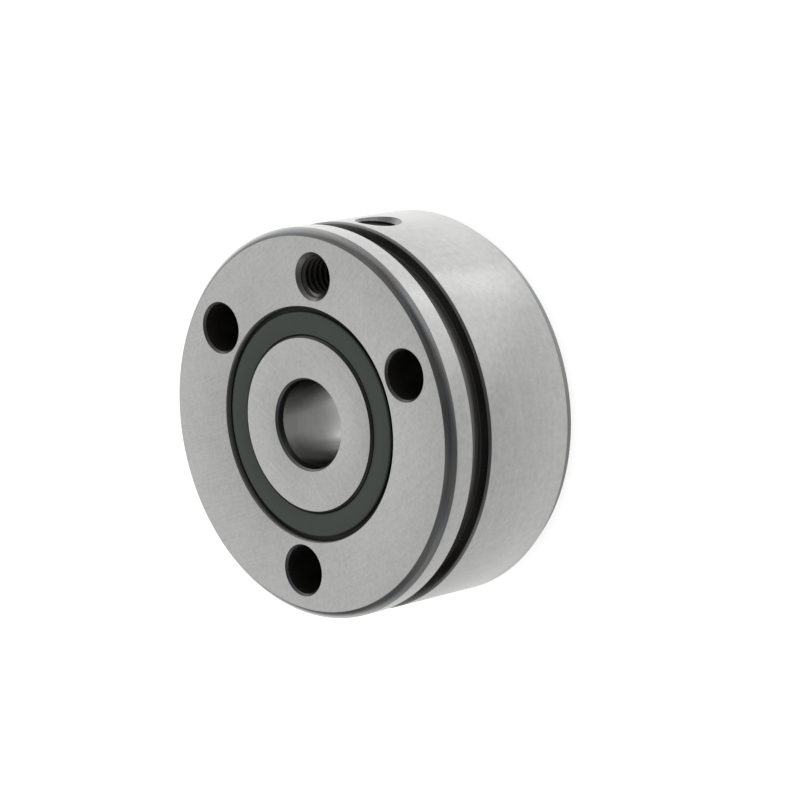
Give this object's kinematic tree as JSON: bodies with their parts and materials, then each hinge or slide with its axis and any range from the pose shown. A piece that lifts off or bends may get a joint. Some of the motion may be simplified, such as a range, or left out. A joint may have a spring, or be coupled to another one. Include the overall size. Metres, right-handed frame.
{
  "type": "angular contact thrust ball bearing",
  "caption": "Sealed double direction angular contact thrust ball bearing with a thick screw-mounted outer ring, puller groove, lubrication ports and a split inner ring.",
  "frame": {"origin": "centre of the rear (mounting) face, where the bearing's axis meets it", "axes": "+Z along the bearing's axis from the rear face to the front face, +X through both lubrication ports"},
  "size_m": [0.055, 0.055, 0.025],
  "materials": {
    "ring_steel": "ground bearing steel",
    "ball_steel": "polished bearing steel",
    "cage_polyamide": "glass filled polyamide, moulded",
    "seal_rubber": "moulded nitrile rubber"
  },
  "bodies": {
    "outer": {"outer_ring": "ring_steel", "front_seal": "seal_rubber", "rear_seal": "seal_rubber"},
    "inner_ring": {"front_inner_ring": "ring_steel", "rear_inner_ring": "ring_steel"},
    "front_cage": {"front_cage": "cage_polyamide"},
    "rear_cage": {"rear_cage": "cage_polyamide"},
    "front_ball_01": {"front_ball_01": "ball_steel"},
    "front_ball_02": {"front_ball_02": "ball_steel"},
    "front_ball_03": {"front_ball_03": "ball_steel"},
    "front_ball_04": {"front_ball_04": "ball_steel"},
    "front_ball_05": {"front_ball_05": "ball_steel"},
    "front_ball_06": {"front_ball_06": "ball_steel"},
    "front_ball_07": {"front_ball_07": "ball_steel"},
    "front_ball_08": {"front_ball_08": "ball_steel"},
    "front_ball_09": {"front_ball_09": "ball_steel"},
    "front_ball_10": {"front_ball_10": "ball_steel"},
    "front_ball_11": {"front_ball_11": "ball_steel"},
    "front_ball_12": {"front_ball_12": "ball_steel"},
    "rear_ball_01": {"rear_ball_01": "ball_steel"},
    "rear_ball_02": {"rear_ball_02": "ball_steel"},
    "rear_ball_03": {"rear_ball_03": "ball_steel"},
    "rear_ball_04": {"rear_ball_04": "ball_steel"},
    "rear_ball_05": {"rear_ball_05": "ball_steel"},
    "rear_ball_06": {"rear_ball_06": "ball_steel"},
    "rear_ball_07": {"rear_ball_07": "ball_steel"},
    "rear_ball_08": {"rear_ball_08": "ball_steel"},
    "rear_ball_09": {"rear_ball_09": "ball_steel"},
    "rear_ball_10": {"rear_ball_10": "ball_steel"},
    "rear_ball_11": {"rear_ball_11": "ball_steel"},
    "rear_ball_12": {"rear_ball_12": "ball_steel"}
  },
  "joints": [
    {"name": "inner_ring_spin", "type": "hinge", "parent": "outer", "child": "inner_ring", "pos_m": [0, 0, 0.0125], "axis": [0, 0, 1], "continuous": true},
    {"name": "front_cage_spin", "type": "hinge", "parent": "outer", "child": "front_cage", "pos_m": [0, 0, 0.01639], "axis": [0, 0, 1], "continuous": true},
    {"name": "rear_cage_spin", "type": "hinge", "parent": "outer", "child": "rear_cage", "pos_m": [0, 0, 0.00861], "axis": [0, 0, 1], "continuous": true},
    {"name": "front_ball_01_roll", "type": "hinge", "parent": "front_cage", "child": "front_ball_01", "pos_m": [0.013, 0, 0.01639], "axis": [0.866, 0, 0.5], "continuous": true},
    {"name": "front_ball_02_roll", "type": "hinge", "parent": "front_cage", "child": "front_ball_02", "pos_m": [0.01126, 0.0065, 0.01639], "axis": [0.75, 0.433, 0.5], "continuous": true},
    {"name": "front_ball_03_roll", "type": "hinge", "parent": "front_cage", "child": "front_ball_03", "pos_m": [0.0065, 0.01126, 0.01639], "axis": [0.433, 0.75, 0.5], "continuous": true},
    {"name": "front_ball_04_roll", "type": "hinge", "parent": "front_cage", "child": "front_ball_04", "pos_m": [0, 0.013, 0.01639], "axis": [0, 0.866, 0.5], "continuous": true},
    {"name": "front_ball_05_roll", "type": "hinge", "parent": "front_cage", "child": "front_ball_05", "pos_m": [-0.0065, 0.01126, 0.01639], "axis": [-0.433, 0.75, 0.5], "continuous": true},
    {"name": "front_ball_06_roll", "type": "hinge", "parent": "front_cage", "child": "front_ball_06", "pos_m": [-0.01126, 0.0065, 0.01639], "axis": [-0.75, 0.433, 0.5], "continuous": true},
    {"name": "front_ball_07_roll", "type": "hinge", "parent": "front_cage", "child": "front_ball_07", "pos_m": [-0.013, 0, 0.01639], "axis": [-0.866, 0, 0.5], "continuous": true},
    {"name": "front_ball_08_roll", "type": "hinge", "parent": "front_cage", "child": "front_ball_08", "pos_m": [-0.01126, -0.0065, 0.01639], "axis": [-0.75, -0.433, 0.5], "continuous": true},
    {"name": "front_ball_09_roll", "type": "hinge", "parent": "front_cage", "child": "front_ball_09", "pos_m": [-0.0065, -0.01126, 0.01639], "axis": [-0.433, -0.75, 0.5], "continuous": true},
    {"name": "front_ball_10_roll", "type": "hinge", "parent": "front_cage", "child": "front_ball_10", "pos_m": [0, -0.013, 0.01639], "axis": [0, -0.866, 0.5], "continuous": true},
    {"name": "front_ball_11_roll", "type": "hinge", "parent": "front_cage", "child": "front_ball_11", "pos_m": [0.0065, -0.01126, 0.01639], "axis": [0.433, -0.75, 0.5], "continuous": true},
    {"name": "front_ball_12_roll", "type": "hinge", "parent": "front_cage", "child": "front_ball_12", "pos_m": [0.01126, -0.0065, 0.01639], "axis": [0.75, -0.433, 0.5], "continuous": true},
    {"name": "rear_ball_01_roll", "type": "hinge", "parent": "rear_cage", "child": "rear_ball_01", "pos_m": [0.01256, 0.00336, 0.00861], "axis": [0.8365, 0.2241, -0.5], "continuous": true},
    {"name": "rear_ball_02_roll", "type": "hinge", "parent": "rear_cage", "child": "rear_ball_02", "pos_m": [0.00919, 0.00919, 0.00861], "axis": [0.6124, 0.6124, -0.5], "continuous": true},
    {"name": "rear_ball_03_roll", "type": "hinge", "parent": "rear_cage", "child": "rear_ball_03", "pos_m": [0.00336, 0.01256, 0.00861], "axis": [0.2241, 0.8365, -0.5], "continuous": true},
    {"name": "rear_ball_04_roll", "type": "hinge", "parent": "rear_cage", "child": "rear_ball_04", "pos_m": [-0.00336, 0.01256, 0.00861], "axis": [-0.2241, 0.8365, -0.5], "continuous": true},
    {"name": "rear_ball_05_roll", "type": "hinge", "parent": "rear_cage", "child": "rear_ball_05", "pos_m": [-0.00919, 0.00919, 0.00861], "axis": [-0.6124, 0.6124, -0.5], "continuous": true},
    {"name": "rear_ball_06_roll", "type": "hinge", "parent": "rear_cage", "child": "rear_ball_06", "pos_m": [-0.01256, 0.00336, 0.00861], "axis": [-0.8365, 0.2241, -0.5], "continuous": true},
    {"name": "rear_ball_07_roll", "type": "hinge", "parent": "rear_cage", "child": "rear_ball_07", "pos_m": [-0.01256, -0.00336, 0.00861], "axis": [-0.8365, -0.2241, -0.5], "continuous": true},
    {"name": "rear_ball_08_roll", "type": "hinge", "parent": "rear_cage", "child": "rear_ball_08", "pos_m": [-0.00919, -0.00919, 0.00861], "axis": [-0.6124, -0.6124, -0.5], "continuous": true},
    {"name": "rear_ball_09_roll", "type": "hinge", "parent": "rear_cage", "child": "rear_ball_09", "pos_m": [-0.00336, -0.01256, 0.00861], "axis": [-0.2241, -0.8365, -0.5], "continuous": true},
    {"name": "rear_ball_10_roll", "type": "hinge", "parent": "rear_cage", "child": "rear_ball_10", "pos_m": [0.00336, -0.01256, 0.00861], "axis": [0.2241, -0.8365, -0.5], "continuous": true},
    {"name": "rear_ball_11_roll", "type": "hinge", "parent": "rear_cage", "child": "rear_ball_11", "pos_m": [0.00919, -0.00919, 0.00861], "axis": [0.6124, -0.6124, -0.5], "continuous": true},
    {"name": "rear_ball_12_roll", "type": "hinge", "parent": "rear_cage", "child": "rear_ball_12", "pos_m": [0.01256, -0.00336, 0.00861], "axis": [0.8365, -0.2241, -0.5], "continuous": true}
  ],
  "couplings": [
    {"joint": "front_cage_spin", "follows": "inner_ring_spin", "ratio": 0.44658},
    {"joint": "rear_cage_spin", "follows": "inner_ring_spin", "ratio": 0.44658},
    {"joint": "front_ball_01_roll", "follows": "inner_ring_spin", "ratio": -2.3131},
    {"joint": "front_ball_02_roll", "follows": "inner_ring_spin", "ratio": -2.3131},
    {"joint": "front_ball_03_roll", "follows": "inner_ring_spin", "ratio": -2.3131},
    {"joint": "front_ball_04_roll", "follows": "inner_ring_spin", "ratio": -2.3131},
    {"joint": "front_ball_05_roll", "follows": "inner_ring_spin", "ratio": -2.3131},
    {"joint": "front_ball_06_roll", "follows": "inner_ring_spin", "ratio": -2.3131},
    {"joint": "front_ball_07_roll", "follows": "inner_ring_spin", "ratio": -2.3131},
    {"joint": "front_ball_08_roll", "follows": "inner_ring_spin", "ratio": -2.3131},
    {"joint": "front_ball_09_roll", "follows": "inner_ring_spin", "ratio": -2.3131},
    {"joint": "front_ball_10_roll", "follows": "inner_ring_spin", "ratio": -2.3131},
    {"joint": "front_ball_11_roll", "follows": "inner_ring_spin", "ratio": -2.3131},
    {"joint": "front_ball_12_roll", "follows": "inner_ring_spin", "ratio": -2.3131},
    {"joint": "rear_ball_01_roll", "follows": "inner_ring_spin", "ratio": 2.3131},
    {"joint": "rear_ball_02_roll", "follows": "inner_ring_spin", "ratio": 2.3131},
    {"joint": "rear_ball_03_roll", "follows": "inner_ring_spin", "ratio": 2.3131},
    {"joint": "rear_ball_04_roll", "follows": "inner_ring_spin", "ratio": 2.3131},
    {"joint": "rear_ball_05_roll", "follows": "inner_ring_spin", "ratio": 2.3131},
    {"joint": "rear_ball_06_roll", "follows": "inner_ring_spin", "ratio": 2.3131},
    {"joint": "rear_ball_07_roll", "follows": "inner_ring_spin", "ratio": 2.3131},
    {"joint": "rear_ball_08_roll", "follows": "inner_ring_spin", "ratio": 2.3131},
    {"joint": "rear_ball_09_roll", "follows": "inner_ring_spin", "ratio": 2.3131},
    {"joint": "rear_ball_10_roll", "follows": "inner_ring_spin", "ratio": 2.3131},
    {"joint": "rear_ball_11_roll", "follows": "inner_ring_spin", "ratio": 2.3131},
    {"joint": "rear_ball_12_roll", "follows": "inner_ring_spin", "ratio": 2.3131}
  ]
}
